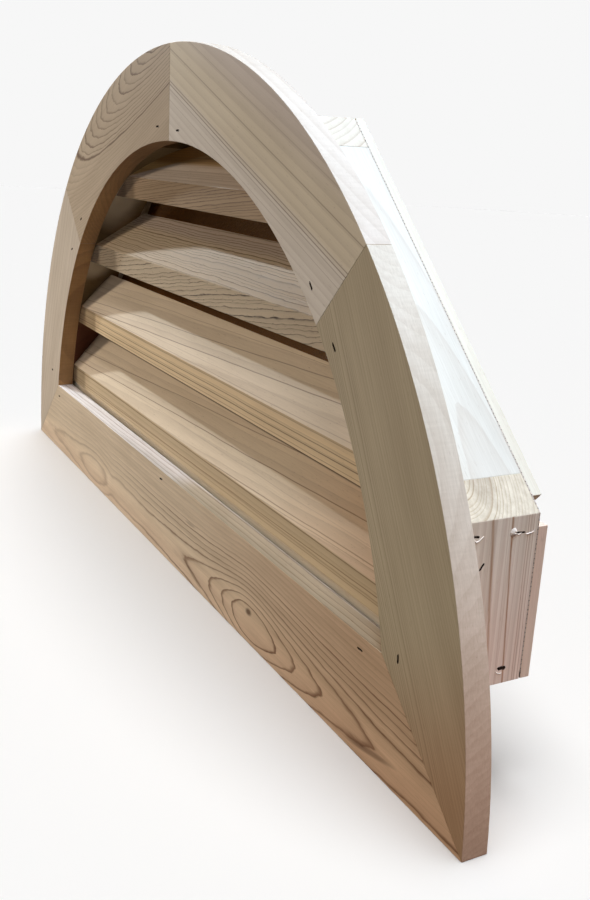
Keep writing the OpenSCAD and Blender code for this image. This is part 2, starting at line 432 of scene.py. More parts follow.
def pine(name, *, at, along, across, **settings):
    """Bare pine. Growth rings are tubes about a pith, so a board's faces, edges and ends agree.

    at, along and across place the board: a point in mm from the middle of the bottom edge, its grain
    direction and its width direction. The other settings are those of PINE.
    """
    assert settings.keys() <= PINE.keys(), name
    look = SimpleNamespace(at=at, along=along, across=across, **{**PINE, **settings})
    material, g = new_material(name)
    grain = Grain(g, look)
    latewood, body = growth_rings(g, grain, look)
    fibre = grain.field(*FIBRES, detail=3.0, fine=0.6)
    band = grain.field(BAND_LENGTH, look.band_w, BAND_PLACE, detail=3.0)
    cloud = grain.field(*CLOUDS)
    pore = g.fit(grain.field(*PORES, detail=1.0), *PORE_SPAN, 0.0, look.flecks)
    dark = g.math("ADD", g.math("ADD", latewood, body), pore, clamp=True)
    colour = g.mix(dark, srgb(*look.early), srgb(*look.late))
    shade = g.mul(g.sway(fibre, STREAK, look.streak), g.sway(band, BAND, look.bands))
    shade = g.mul(shade, g.mul(g.sway(cloud, PATCH, look.patch), look.tone))
    if look.sawn:
        saw = grain.saw_marks()
        shade = g.mul(shade, g.sway(saw, SAW, look.sawn))
        fibre = g.add(fibre, g.mul(saw, look.sawn))
    green, blue = [g.math("POWER", shade, power) for power in (GREEN_POWER, BLUE_POWER)]
    colour = g.mix(1.0, colour, g.xyz(shade, green, blue), "MULTIPLY")
    colour = spots_and_painted_light(g, grain, look, colour, cloud)
    height = g.add(g.mul(fibre, FIBRE_RELIEF * look.fuzz), g.mul(latewood, RING_RELIEF))
    height = g.sub(height, g.mul(pore, PORE_RELIEF))
    roughness = g.fit(fibre, 0.2, 0.8, look.rough - 0.06, look.rough + 0.08, smooth=False)
    sockets = g.surface(colour, roughness, height, PINE_BUMP, PINE_RELIEF)
    sockets["Specular IOR Level"].default_value = PINE_SPECULAR
    return material


def plain(name, colour, rough, metallic=0.0, grain=900.0, vary=0.25):
    """A simple mottled material, for steel, wire, torn wood and the painted shade in the holes."""
    material, g = new_material(name)
    place = g.node("ShaderNodeTexCoord").outputs["Object"]
    x, y, z = [g.dot(place, axis) for axis in ((grain, 0, 0), (0, grain, 0), (0, 0, grain))]
    spots = g.noise(g.xyz(x, y, z))
    shade = g.sway(spots, (1, 1), vary)
    mottled = g.mix(1.0, srgb(*colour), g.xyz(shade, shade, shade), "MULTIPLY")
    roughness = g.fit(spots, 0.2, 0.8, rough - 0.1, rough + 0.1, smooth=False)
    sockets = g.surface(mottled, roughness, spots, PLAIN_BUMP, PLAIN_RELIEF)
    sockets["Metallic"].default_value = metallic
    return material


# ---------------------------------------------------------------- boards

# width of the eased arrises, and how sharp an edge has to be to have one
ARRIS = 0.45 * MM
LOUVER_ARRIS = 0.7 * MM
ARRIS_A = math.radians(28)
# vertices that are nearer than this are one, and faces that differ less than this are flat together
WELD = 0.005 * MM
FLAT_A = math.radians(0.3)
# how far an edge's face may look to the front, and how well it has to look along the arc's radius
SIDEWAYS = 0.3
STRAIGHT = 0.97


def radial(face, centre_z):
    """How far a face looks away from the centre of an arc, -1 to 1."""
    middle = face.calc_center_median()
    out = Vector((middle.x, 0, middle.z - centre_z)).normalized()
    return face.normal.dot(out)


def add_object(name, mesh, materials):
    """A new object from a bmesh, which is freed."""
    data = bpy.data.meshes.new(name)
    mesh.to_mesh(data)
    mesh.free()
    for material in materials:
        data.materials.append(material)
    piece = bpy.data.objects.new(name, data)
    bpy.context.scene.collection.objects.link(piece)
    return piece


def finished(piece):
    """Applies a piece's modifiers to its mesh."""
    evaluated = piece.evaluated_get(bpy.context.evaluated_depsgraph_get())
    data = bpy.data.meshes.new_from_object(evaluated)
    piece.modifiers.clear()
    piece.data = data


def on_rim(face):
    """The arch's outer edge."""
    return abs(face.normal.y) < SIDEWAYS and radial(face, OUTER_CZ) > STRAIGHT


def on_reveal(face):
    """The arch's inner edge, round the opening."""
    return abs(face.normal.y) < SIDEWAYS and radial(face, INNER_CZ) < -STRAIGHT


def on_nose(face):
    """A louver's front edge."""
    return face.normal.y < -0.9


def on_bevel(face):
    """The sloping end of a post, or any other face that looks up."""
    return face.normal.z > 0.3


def on_ledge(face):
    """The bottom board's top edge."""
    return face.normal.z > 0.9 and face.calc_center_median().z > LEDGE_Z - 0.5 * MM


def board(node, wood, others=(), cutters=(), arris=ARRIS):
    """A detailed copy of a CAD node, with its arrises eased and holes cut.

    others are pairs of a material and the test of a face that has it instead of wood.
    """
    mesh = bmesh.new()
    mesh.from_mesh(frame["nodes"][node].data)
    bmesh.ops.remove_doubles(mesh, verts=mesh.verts, dist=WELD)
    bmesh.ops.dissolve_limit(mesh, angle_limit=FLAT_A, verts=mesh.verts, edges=mesh.edges)
    for face in mesh.faces:
        face.material_index = 0
        face.smooth = True
        for index, (_, test) in enumerate(others):
            if test(face):
                face.material_index = index + 1
    piece = add_object(node + "_board", mesh, [wood] + [other for (other, _) in others])
    bevel = piece.modifiers.new("arris", "BEVEL")
    bevel.width = arris
    bevel.segments = 2
    bevel.limit_method = "ANGLE"
    bevel.angle_limit = ARRIS_A
    bevel.harden_normals = True
    for cutter in cutters:
        cut = piece.modifiers.new("hole", "BOOLEAN")
        cut.object = cutter
        cut.operation = "DIFFERENCE"
        cut.solver = "EXACT"
        cut.material_mode = "TRANSFER"
    even = piece.modifiers.new("even", "WEIGHTED_NORMAL")
    even.mode = "FACE_AREA"
    even.weight = 80
    finished(piece)
    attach(piece, "root")
    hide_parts(node)


# ---------------------------------------------------------------- nail and staple marks

RIGHT = (1, 0, 0)
FRONT = (0, -1, 0)
HOLE_DEPTH = 2.4 * MM
CROWN_SINK = 1.5 * MM
CROWN_WIDTH, CROWN_THICKNESS, CROWN_ARRIS = 0.55 * MM, 0.5 * MM, 0.12 * MM
# a crown's share of its slot's length
CROWN_SHARE = 0.7
# the cut holes' walls and bottoms are dark: painted shade in the holes
hole_painted_shade = plain("hole_painted_shade", (46, 30, 18), 0.9)
steel = plain("staple_steel", (150, 148, 142), 0.4, metallic=0.9)


def frame_of(normal, turn):
    """A matrix whose Z is an upright face's normal and whose X runs at turn degrees on that face."""
    n = Vector(normal)
    side = Vector((0, 0, 1)).cross(n)
    up = n.cross(side)
    a = math.radians(turn)
    x = side * math.cos(a) + up * math.sin(a)
    return Matrix((x, n.cross(x), n)).transposed()


def slot_cutter(point, normal, turn, length, width):
    """Cutter for a slot that a staple or a nail left: a bar with pointed, uneven ends."""
    mesh = bmesh.new()
    half, thin = length / 2 * MM, width / 2 * MM
    outline = ((-half, 0.1 * thin), (-0.6 * half, -thin), (0.1 * half, -0.8 * thin), (0.7 * half, -thin),
               (half, -0.2 * thin), (0.8 * half, 0.9 * thin), (0, thin), (-0.75 * half, 0.8 * thin))
    rings = []
    for z, scale in ((-HOLE_DEPTH, 0.55), (-0.4 * HOLE_DEPTH, 0.85), (0.5 * MM, 1.12)):
        rings.append([mesh.verts.new((x * scale, y * scale, z)) for (x, y) in outline])
    for low, high in zip(rings, rings[1:]):
        for i in range(len(outline)):
            n = (i + 1) % len(outline)
            mesh.faces.new((low[i], low[n], high[n], high[i]))
    mesh.faces.new(rings[0][::-1])
    mesh.faces.new(rings[-1])
    bmesh.ops.recalc_face_normals(mesh, faces=mesh.faces)
    turned = frame_of(normal, turn).to_4x4()
    turned.translation = point
    mesh.transform(turned)
    cutter = add_object("cutter", mesh, [hole_painted_shade])
    cutter.hide_render = True
    return cutter


def front(x, z):
    """A point on the trim's front face, from mm above the bottom edge."""
    return Vector((x * MM, FACE_Y, z * MM + FOOT_Z))


def on_post(y, z):
    """A point on the right post's side, from mm behind the trim and above the bottom edge."""
    return Vector((POST_X, y * MM, z * MM + FOOT_Z))


# x and height on the front face, turn, length and width of each mark, by board
MARKS = {
    "trim_bottom": ((-395, 74, 4, 8, 2.0), (-9.5, 79, 8, 8, 2.0), (374, 78, 2, 7.5, 1.6)),
    "trim_left_lower": ((-428.6, 103, 5, 7, 2.4), (-324, 273.4, 20, 7, 2.2)),
    "trim_left_upper": ((-283.8, 311.8, 25, 7, 2.4), (-29.5, 414, 0, 8, 1.8)),
    "trim_right_upper": ((21.3, 410.6, 0, 8, 1.8), (278.5, 309, -48, 7.5, 2.2)),
    "trim_right_lower": ((315, 273, -48, 7.5, 2.2), (418.5, 93, -88, 7, 2.0)),
}
# y and height on the right post's side, turn, length and width of each mark
POST_MARKS = ((18, 160.5, 56, 6, 1.6), (43, 87, -4, 7, 2.8), (45.5, 179.5, -6, 8, 1.3),
              (11.5, 181, -10, 5, 1.6))


def staple_crown(mesh, point, normal, turn, length):
    """The crown of a staple, a flat wire, driven below the face."""
    made = bmesh.ops.create_cube(mesh, size=1.0)["verts"]
    size = (CROWN_SHARE * length * MM, CROWN_WIDTH, CROWN_THICKNESS)
    bmesh.ops.scale(mesh, verts=made, vec=size)
    turned = frame_of(normal, turn).to_4x4()
    turned.translation = point - Vector(normal) * CROWN_SINK
    bmesh.ops.transform(mesh, verts=made, matrix=turned)


# y and height on the right post's side, size, start and end angle, thickness of each torn lip
LIPS = ((13.0, 182.5, 4.6, 195, 335, 1.0), (40.6, 180.2, 1.5, 20, 340, 2.6),
        (52.5, 180.8, 3.4, 225, 345, 1.0), (45.0, 182.0, 3.6, 215, 290, 0.7),
        (41.5, 85.5, 2.4, 170, 320, 0.8))
LIP_STEPS = 10


def lip_row(mesh, lip, t):
    """Three points across a torn lip, at the share t of its length: outer foot, ridge, inner foot."""
    y, z, size, start, end, thick = lip
    a = math.radians(start + (end - start) * t)
    wide = (0.25 + 0.75 * math.sin(math.pi * t)) * thick
    bent = size * (1 + 0.14 * math.sin(3.1 * a + y))
    row = []
    for reach, lift in ((bent - wide, -0.3), (bent - 0.3 * wide, 0.4 * thick), (bent + wide, -0.3)):
        point = on_post(y + reach * math.cos(a), z + reach * math.sin(a))
        row.append(mesh.verts.new(point + Vector(RIGHT) * lift * MM))
    return row


def add_splinters():
    """Pale lips of wood torn up beside the staples in the right post."""
    mesh = bmesh.new()
    for lip in LIPS:
        rows = [lip_row(mesh, lip, k / LIP_STEPS) for k in range(LIP_STEPS + 1)]
        for here, there in zip(rows, rows[1:]):
            for i in range(3):
                n = (i + 1) % 3
                mesh.faces.new((here[i], here[n], there[n], there[i]))
        mesh.faces.new(rows[0][::-1])
        mesh.faces.new(rows[-1])
    bmesh.ops.recalc_face_normals(mesh, faces=mesh.faces)
    torn = plain("torn_pine", (240, 228, 212), 0.8, grain=1500.0, vary=0.12)
    piece = add_object("torn_lips", mesh, [torn])
    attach(piece, "root")


def add_staples():
    """The staples' crowns at the bottom of every mark."""
    mesh = bmesh.new()
    for marks in MARKS.values():
        for (x, z, turn, length, _) in marks:
            staple_crown(mesh, front(x, z), FRONT, turn, length)
    for (y, z, turn, length, _) in POST_MARKS:
        staple_crown(mesh, on_post(y, z), RIGHT, turn, length)
    bmesh.ops.bevel(mesh, geom=mesh.edges[:], offset=CROWN_ARRIS, segments=2, affect="EDGES")
    piece = add_object("staples", mesh, [steel])
    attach(piece, "root")


# ---------------------------------------------------------------- woods of each board

# climb of the grain in the arch boards
LU_A = math.radians(23)
RU_A = math.radians(-21.8)
RL_A = math.radians(-60)
LL_A = math.radians(63)


def level(angle):
    """Grain that climbs at an angle in the plane of the trim."""
    climb, run = math.sin(angle), math.cos(angle)
    return {"along": (run, 0, climb), "across": (-climb, 0, run)}


BOTTOM = dict(
    at=(0, FACE, 0), along=(1, 0, 0), across=(0, 0, 1), pith=(19.5, -38), tilt=(-0.004, 0), seed=1,
    ring=4.0, uneven=0.5, offset=0.2, line=0.27, dark=0.9, least=0.55, core=19.5, outer=(51, 57, 0.12),
    dips=((201, 55, 15), (260, 130, 7), (-240, 66, 6), (-480, 90, -1.6), (-170, 16, -2.2)),
    early=(243, 222, 192), late=(140, 106, 78), swirl=1.8, jitter=0.8, bands=0.7, streak=0.8,
    marked=((34, 1.1, 0.26), (38, 1.0, 0.26)), bold=(-250, 60, 0.16, 1.0),
    spots=((201, 28, 7, 4, 0.1, 0.85), (398, 12, 34, 3.0, 0.2, 0.5), (76, 12, 26, 2.6, -0.3, 0.4),
           (80, 78, 22, 3, 0.0, -0.45), (70, 59, 15, 2.0, 0.05, 0.3)),
    # painted shade: the tints make the face darker towards its top and to the right, and faintly redder
    # at the foot
    washes=((34, 8, (255, 250, 250)), (20, 50, (238, 238, 238))),
    fades=((0, 480, (240, 221, 208)),),
)
# the bottom board's top edge, with narrow weak rings. Painted highlight: its colour is near white, and
# the tints along are painted shade that comes in to the right and towards the front, leaving a pale
# strip along the back
LEDGE = {
    **BOTTOM, "ring": 2.3, "dark": 0.5, "early": (253, 249, 247), "swirl": 0.8, "jitter": 0.35,
    "core": 0.0, "outer": None, "bold": None, "dips": (), "marked": (), "spots": (), "washes": (),
    "fades": ((5, 60, (228, 220, 202), 0, -17.8, -16.2), (-20, 120, (240, 237, 230)),
              (-280, 20, (229, 229, 226), 0, -11, -2)),
}
LEFT_UPPER = dict(
    at=(-290, FACE, 388), **level(LU_A), tilt=(0, 0.12), seed=3,
    ring=2.5, uneven=1.0, line=0.32, dark=0.75, least=0.4, marked=((60.5, 1.0, 0.75),),
    early=(202, 182, 156), late=(108, 82, 62), outer=(61.5, 63, 0.22), swirl=0.9, jitter=0.85,
    bands=0.5,
)
RIGHT_UPPER = dict(
    at=(15, FACE, 444), **level(RU_A), pith=(150, -90), seed=2,
    ring=7, dark=0.06, early=(236, 226, 213), late=(132, 104, 76), swirl=0.6, jitter=0.1,
    bands=0.25, band_w=20, streak=0.3,
    sheets=((0, 0, 0.9, 0.75), (2.6, 0.002, 0.8, 0.6), (-3.8, 0.002, 0.7, 0.4), (27, 0.0, 0.8, 0.5),
            (-12, 0.003, 0.6, 0.3), (46, 0.0, 0.7, 0.25)),
    washes=((-2, 8, (250, 245, 230)), (30, 62, (241, 240, 254))),
)
RIGHT_LOWER = dict(
    at=(297, FACE, 301), **level(RL_A), pith=(-60, -30), seed=4,
    ring=2.5, line=0.35, dark=0.5, least=0.3, early=(198, 183, 153), late=(120, 92, 64),
    swirl=1.6, jitter=0.4, outer=(74, 92, 0.22), bands=0.5, band_w=13, streak=0.6,
    spots=((82, -27, 3.5, 2.2, 0.2, 0.5),),
    # painted shade: darker and redder towards the board's lower end
    fades=((210, 340, (244, 214, 200)),),
)
LEFT_LOWER = dict(
    at=(-440, FACE, 100), **level(LL_A), pith=(300, -60), seed=5,
    ring=8, dark=0.1, early=(217, 202, 182), bands=0.4, patch=0.5,
)
ARCH_WOODS = {
    "trim_left_lower": LEFT_LOWER,
    "trim_left_upper": LEFT_UPPER,
    "trim_right_upper": RIGHT_UPPER,
    "trim_right_lower": RIGHT_LOWER,
}
# what the sawn outer and inner edges of the arch boards have instead, and what one board's have besides
RIM = dict(
    sawn=0.45, fuzz=0.4, line=0.45, dark=0.1, early=(211, 197, 180), late=(160, 134, 108), bands=0.3,
    spots=(), washes=(), fades=(), sheets=(), marked=(),
)
# painted shade on the lower right board's outer edge: darker and redder towards its lower end
RIM_OF = {"trim_right_lower": dict(early=(211, 199, 180), fades=((110, 345, (238, 212, 198)),))}
REVEAL = dict(
    sawn=0.8, fuzz=0.5, line=0.45, dark=0.3, early=(214, 168, 117),
    spots=(), washes=(), sheets=(), marked=(),
)
REVEAL_OF = {"trim_left_upper": dict(fades=((30, 190, (194, 190, 188)),))}


def louver_frame(node):
    """Grain runs along a louver and its face is the sloping upper side."""
    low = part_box(node)[0]
    rise = (0, math.cos(LOUVER_A), math.sin(LOUVER_A))
    return dict(at=(0, 0, (low.z - FOOT_Z) / MM), along=(1, 0, 0), across=rise)


def nose_frame(node, slope):
    """The front edge of a louver, whose grain climbs to the right at a slope."""
    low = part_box(node)[0]
    return dict(at=(0, 0, (low.z - FOOT_Z) / MM), along=(1, 0, slope), across=(-slope, 0, 1))


# painted shade: the tints across darken the top of each slope, where the louver above or the arch
# shades it; louver_1's is a thin dark line under the next front edge and louver_3's first one is
# cooler. The leaning tints along are the arch's shadows on the left ends, and louver_1's other one
# darkens it towards the right
LOUVER_WOODS = {
    "louver_1": dict(
        pith=(-30, -75), tilt=(0.012, 0.02), seed=21, ring=9, line=0.12, dark=0.14, least=0.15,
        early=(232, 214, 187), late=(128, 90, 58), bands=0.35, swirl=2.2,
        sheets=((40, 0.034, 0.8, 0.7), (60, 0.05, 0.8, 0.6), (17.5, 0.027, 0.8, 0.6),
                (14, 0.03, 0.6, 0.4), (33, 0.012, 0.6, 0.2)),
        washes=((68.2, 70.4, (78, 56, 40)),),
        fades=((150, 360, (246, 232, 222)), (-373, -386, (216, 212, 208), 0.72)),
    ),
    "louver_2": dict(
        pith=(-20, -80), tilt=(0.02, 0.015), seed=22, ring=8.5, line=0.12, dark=0.14, least=0.15,
        early=(236, 219, 194), late=(132, 96, 66), bands=0.35, swirl=2.2,
        sheets=((33, 0.042, 0.8, 0.7), (47, 0.05, 0.7, 0.6), (20.5, 0.004, 0.6, 0.4),
                (61, 0.03, 0.7, 0.35), (27, 0.012, 0.6, 0.2)),
        washes=((70, 76, (170, 140, 112)),),
        fades=((-343, -353, (218, 215, 211), 1.05),),
    ),
    "louver_3": dict(
        pith=(-40, -60), tilt=(0.02, -0.02), seed=23, ring=2.3, line=0.34, dark=0.95, least=0.45,
        early=(198, 178, 149), late=(104, 80, 58), bands=0.5, swirl=3.0, jitter=1.0, flecks=0.5,
        fuzz=0.6,
        washes=((50, 60, (238, 238, 255)), (66, 78, (190, 165, 140))),
        fades=((-295, -307, (206, 202, 196), 2.0),),
    ),
    "louver_4": dict(
        pith=(-60, -40), tilt=(0.03, -0.03), seed=24, ring=2.6, line=0.5, dark=0.3, least=0.3,
        early=(210, 196, 182), late=(136, 110, 88), bands=0.6, swirl=1.2, flecks=0.5, fuzz=0.5,
        washes=((35, 42, (203, 174, 118)),),
        fades=((-262, -280, (223, 196, 134), 5.4),),
    ),
}
NOSE_SLOPES = {"louver_1": 0.0, "louver_2": 0.0, "louver_3": 0.14, "louver_4": 0.1}
# painted shade: on each front edge the tints along darken the left end in two steps, the arch's shadow
# and the deeper shade next to the stop
NOSE_WOODS = {
    "louver_1": dict(
        pith=(-30, -75), seed=41, ring=4, dark=0.3, early=(208, 186, 150), late=(116, 80, 48),
        swirl=1.0,
        sheets=((20.4, 0.002, 0.8, 0.75), (9, 0.01, 0.7, 0.7), (5, 0.006, 0.6, 0.5)),
        fades=((-334, -346, (206, 203, 197)), (-368, -384, (170, 160, 150))),
    ),
    "louver_2": dict(
        pith=(-30, -75), seed=42, ring=4, dark=0.35, early=(238, 211, 168), late=(118, 82, 50),
        swirl=1.0,
        sheets=((13, 0.0, 0.7, 0.7), (7, 0.003, 0.8, 0.8), (20.6, 0.001, 0.7, 0.5),
                (3, 0.0, 0.6, 0.5)),
        fades=((-287, -299, (199, 195, 190)), (-328, -340, (205, 196, 186))),
    ),
    "louver_3": dict(
        pith=(-60, -30), seed=43, ring=3.7, line=0.28, dark=1.0, least=0.5,
        early=(208, 189, 161), late=(66, 48, 34), swirl=2.4, jitter=2.0, broken=0.42, flecks=1.0,
        fuzz=1.6, bands=0.6,
        fades=((-200, -216, (204, 200, 195)), (-266, -278, (189, 180, 170))),
    ),
    "louver_4": dict(
        pith=(-60, -30), seed=44, ring=2.4, line=0.4, dark=0.85, least=0.3,
        early=(184, 158, 127), late=(92, 66, 44), swirl=1.4, jitter=1.0, broken=0.4, flecks=0.7,
        fuzz=0.9, bands=0.8,
        fades=((-141, -157, (192, 188, 182)), (-170, -182, (194, 186, 178))),
    ),
}
POST_WOOD = dict(
    at=(SIDE, BACK, SILL), along=(0, 0, 1), across=(0, -1, 0), pith=(52, -26), seed=31,
    ring=3.4, dark=0.16, early=(252, 229, 211), late=(176, 116, 70), swirl=1.2, bands=0.8, band_w=4,
    sheets=((14.4, 0.055, 1.2, 0.75), (27, 0.075, 1.8, 0.6), (6.6, 0.01, 0.7, 0.5),
            (4.6, 0.012, 0.6, 0.4), (2.2, 0.012, 0.6, 0.5), (21, 0.02, 0.6, 0.25)),
    fades=((10, 115, (240, 250, 248)),),
)
# the bevelled end of a post, which shows its rings
POST_END = {
    **POST_WOOD, "ring": 2.5, "line": 0.4, "dark": 0.6, "outer": (34, 46, 0.5), "sheets": (),
    "early": (212, 199, 175), "late": (154, 120, 80), "fades": (),
    "spots": ((134, 33, 16, 11, 0, 0.24),),
}
SLOPE_WOOD = dict(
    at=(SIDE, 0, SHOULDER), along=(-math.cos(PITCH), 0, math.sin(PITCH)), across=(0, -1, 0),
    pith=(-35, -45), tilt=(0, -0.05), seed=32, ring=6, line=0.16, dark=0.12, bands=0.15,
    early=(210, 204, 190),
)
SILL_WOOD = dict(
    at=(0, 0, SILL), along=(1, 0, 0), across=(0, 1, 0), pith=(20, -80), seed=33, ring=5, dark=0.4,
    early=(222, 203, 174),
)
TOP_WOOD = dict(
    at=(0, 0, BOX_TOP), along=(1, 0, 0), across=(0, -1, 0), pith=(-10, -60), seed=34,
    ring=4.5, dark=0.35, early=(214, 203, 183),
)
# painted light and shade: tone darkens the whole stop for the shade deep in the box, the pale spots are
# painted patches of light that comes in from the front right, and the tint along is a painted shadow at
# the lower left
STOP_WOOD = dict(
    at=(0, 0, 200), along=(0.5, 0, 0.86), across=(0, 1, 0), pith=(40, -60), seed=35,
    ring=4, dark=0.35, early=(190, 164, 116), sawn=1.2, fuzz=0.5, tone=0.52,
    spots=((8, 12, 64, 24, 0, -0.95), (-112, 10, 30, 20, 0, -0.9)),
    fades=((-185, -215, (188, 131, 124)),),
)
BATTEN_WOOD = dict(
    at=(0, BATTEN_FACE, SILL), along=(1, 0, 0), across=(0, 0, 1), pith=(60, -50), seed=36,
    ring=4, dark=0.3, early=(224, 204, 176),
)
SLANTED_BATTEN = {
    **BATTEN_WOOD, "along": (-math.cos(PITCH), 0, math.sin(PITCH)),
    "across": (math.sin(PITCH), 0, math.cos(PITCH)), "early": (222, 214, 194), "seed": 38,
}
UPRIGHT_BATTEN = {
    **BATTEN_WOOD, "along": (0, 0, 1), "across": (1, 0, 0), "early": (240, 213, 190), "seed": 37,
}


def mirrored(config):
    """The same wood placed on the left side, with rings of its own.

    Only a width direction that runs to the front is turned round.
    """
    x, y, z = config["at"]
    run, deep, climb = config["along"]
    across = config["across"]
    if across[1]:
        across = tuple(-c for c in across)
    turned = {"at": (-x, y, z), "along": (-run, deep, climb), "across": across}
    return {**config, **turned, "seed": config["seed"] + 50}


def front_cutters(node):
    """Cutters for a trim board's marks."""
    return [slot_cutter(front(x, z), FRONT, *size) for (x, z, *size) in MARKS[node]]


def add_trim():
    """The bottom board with its top edge, and the arch boards with their outer and inner edges."""
    ledge = (pine("ledge_pine", **LEDGE), on_ledge)
    board("trim_bottom", pine("bottom_pine", **BOTTOM), [ledge], front_cutters("trim_bottom"))
    for node, config in ARCH_WOODS.items():
        rim = {**config, **RIM, **RIM_OF.get(node, {})}
        reveal = {**config, **REVEAL, **REVEAL_OF.get(node, {})}
        edges = [(pine(node + "_rim", **rim), on_rim), (pine(node + "_reveal", **reveal), on_reveal)]
        board(node, pine(node + "_pine", **config), edges, front_cutters(node))


def add_frame():
    """The box behind the trim. Only the right post has marks."""
    cutters = [slot_cutter(on_post(y, z), RIGHT, *size) for (y, z, *size) in POST_MARKS]
    end = (pine("post_end_pine", **POST_END), on_bevel)
    board("frame_post_right", pine("post_pine", **POST_WOOD), [end], cutters)
    end = (pine("post_left_end_pine", **mirrored(POST_END)), on_bevel)
    board("frame_post_left", pine("post_left_pine", **mirrored(POST_WOOD)), [end])
    board("frame_slope_right", pine("slope_pine", **SLOPE_WOOD))
    board("frame_slope_left", pine("slope_left_pine", **mirrored(SLOPE_WOOD)))
    board("frame_sill", pine("sill_pine", **SILL_WOOD))
    board("frame_top", pine("top_pine", **TOP_WOOD))


def add_stops():
    """The curved stops inside the opening, all of one wood."""
    wood = pine("stop_pine_inside", **STOP_WOOD)
    for node in ("stop_left_lower", "stop_left_upper", "stop_right_upper", "stop_right_lower"):
        board(node, wood)


def add_louvers():
    """The louvers, each with a wood of its own on its front edge."""
    for node, config in LOUVER_WOODS.items():
        wood = pine(node + "_pine", **louver_frame(node), **config)
        nose = pine(node + "_nose", **nose_frame(node, NOSE_SLOPES[node]), **NOSE_WOODS[node])
        board(node, wood, [(nose, on_nose)], arris=LOUVER_ARRIS)


def add_battens():
    """The thin battens over the screen."""
    flat = pine("batten_flat_pine", **BATTEN_WOOD)
    board("batten_bottom", flat)
    board("batten_top", flat)
    board("batten_right", pine("batten_post_pine", **UPRIGHT_BATTEN))
    board("batten_left", pine("batten_post_left_pine", **{**UPRIGHT_BATTEN, "seed": 39}))
    board("batten_slope_right", pine("batten_slope_pine", **SLANTED_BATTEN))
    board("batten_slope_left", pine("batten_slope_left_pine", **mirrored(SLANTED_BATTEN)))


# ---------------------------------------------------------------- screen

WIRE_PITCH = 1.27 * MM
WIRE_SIDES = 4
WEFT_R = 0.2 * MM
WARP_R = 0.36 * MM
END_PITCH = 3.2 * MM
END_R = 0.38 * MM
END_OUT = 0.04 * MM
HEM_W = 5 * MM
HEM_SKIN = 0.06 * MM
SCREEN_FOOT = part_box("frame_post_right")[0].z + 1 * MM
SCREEN_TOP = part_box("frame_top")[1].z - 1 * MM
CLOTH_X = POST_X - 0.4 * MM
HEM_X = POST_X - 0.05 * MM
HEM_TOP_X = HEM_X - (SCREEN_TOP - POST_TOP) / math.tan(PITCH)
RIGHT_HALF = [(HEM_X, SCREEN_FOOT), (HEM_X, POST_TOP), (HEM_TOP_X, SCREEN_TOP)]
OUTLINE = RIGHT_HALF + [(-x, z) for (x, z) in RIGHT_HALF[::-1]]
# the outline's sides, from corner to corner: right post, right slope, top, left slope, left post, foot
SIDES = list(zip(OUTLINE, OUTLINE[1:] + OUTLINE[:1]))


def add_wire(mesh, start, end, radius):
    """A straight wire, closed at its ends."""
    deep = Vector((0, 1, 0))
    side = (end - start).normalized().cross(deep).normalized()
    rings = []
    for point in (start, end):
        ring = []
        for k in range(WIRE_SIDES):
            a = 2 * math.pi * k / WIRE_SIDES
            ring.append(mesh.verts.new(point + (side * math.cos(a) + deep * math.sin(a)) * radius))
        rings.append(ring)
    near, far = rings
    for k in range(WIRE_SIDES):
        n = (k + 1) % WIRE_SIDES
        mesh.faces.new((near[k], far[k], far[n], near[n]))
    mesh.faces.new(near)
    mesh.faces.new(far[::-1])


def add_cloth():
    """Fine insect screen clamped between the frame and the battens, trimmed flush with them."""
    mesh = bmesh.new()
    y = SCREEN_LOW.y + WEFT_R
    z = SCREEN_FOOT
    while z < SCREEN_TOP:
        x = min(CLOTH_X, CLOTH_X - (z - POST_TOP) / math.tan(PITCH))
        add_wire(mesh, Vector((-x, y, z)), Vector((x, y, z)), WEFT_R)
        z += WIRE_PITCH
    y = SCREEN_HIGH.y - WARP_R
    count = int(CLOTH_X / WIRE_PITCH)
    for i in range(-count, count + 1):
        x = i * WIRE_PITCH
        top = min(SCREEN_TOP, POST_TOP + (CLOTH_X - abs(x)) * math.tan(PITCH))
        add_wire(mesh, Vector((x, y, SCREEN_FOOT)), Vector((x, y, top)), WARP_R)
    piece = add_object("screen_cloth", mesh, [plain("screen_yarn", (142, 100, 46), 0.8)])
    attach(piece, "root")
    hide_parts("screen")


def add_hem():
    """The cloth's folded edge, a flat strip along each side."""
    mesh = bmesh.new()
    for (x, z), (nx, nz) in SIDES:
        inward = Vector((z - nz, 0, nx - x)).normalized() * HEM_W
        strip = []
        for y in (SCREEN_LOW.y + HEM_SKIN, SCREEN_HIGH.y - HEM_SKIN):
            near, far = Vector((x, y, z)), Vector((nx, y, nz))
            strip += [mesh.verts.new(p) for p in (near, far, far + inward, near + inward)]
        for quad in ((0, 1, 2, 3), (7, 6, 5, 4), (0, 4, 5, 1), (1, 5, 6, 2), (2, 6, 7, 3), (3, 7, 4, 0)):
            mesh.faces.new([strip[i] for i in quad])
    bmesh.ops.recalc_face_normals(mesh, faces=mesh.faces)
    # painted light: the folded edge is far paler than the cloth's yarn, so that the seams along the
    # battens don't look shaded
    piece = add_object("screen_hem", mesh, [plain("hem_yarn_painted_light", (206, 190, 174), 0.8)])
    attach(piece, "root")


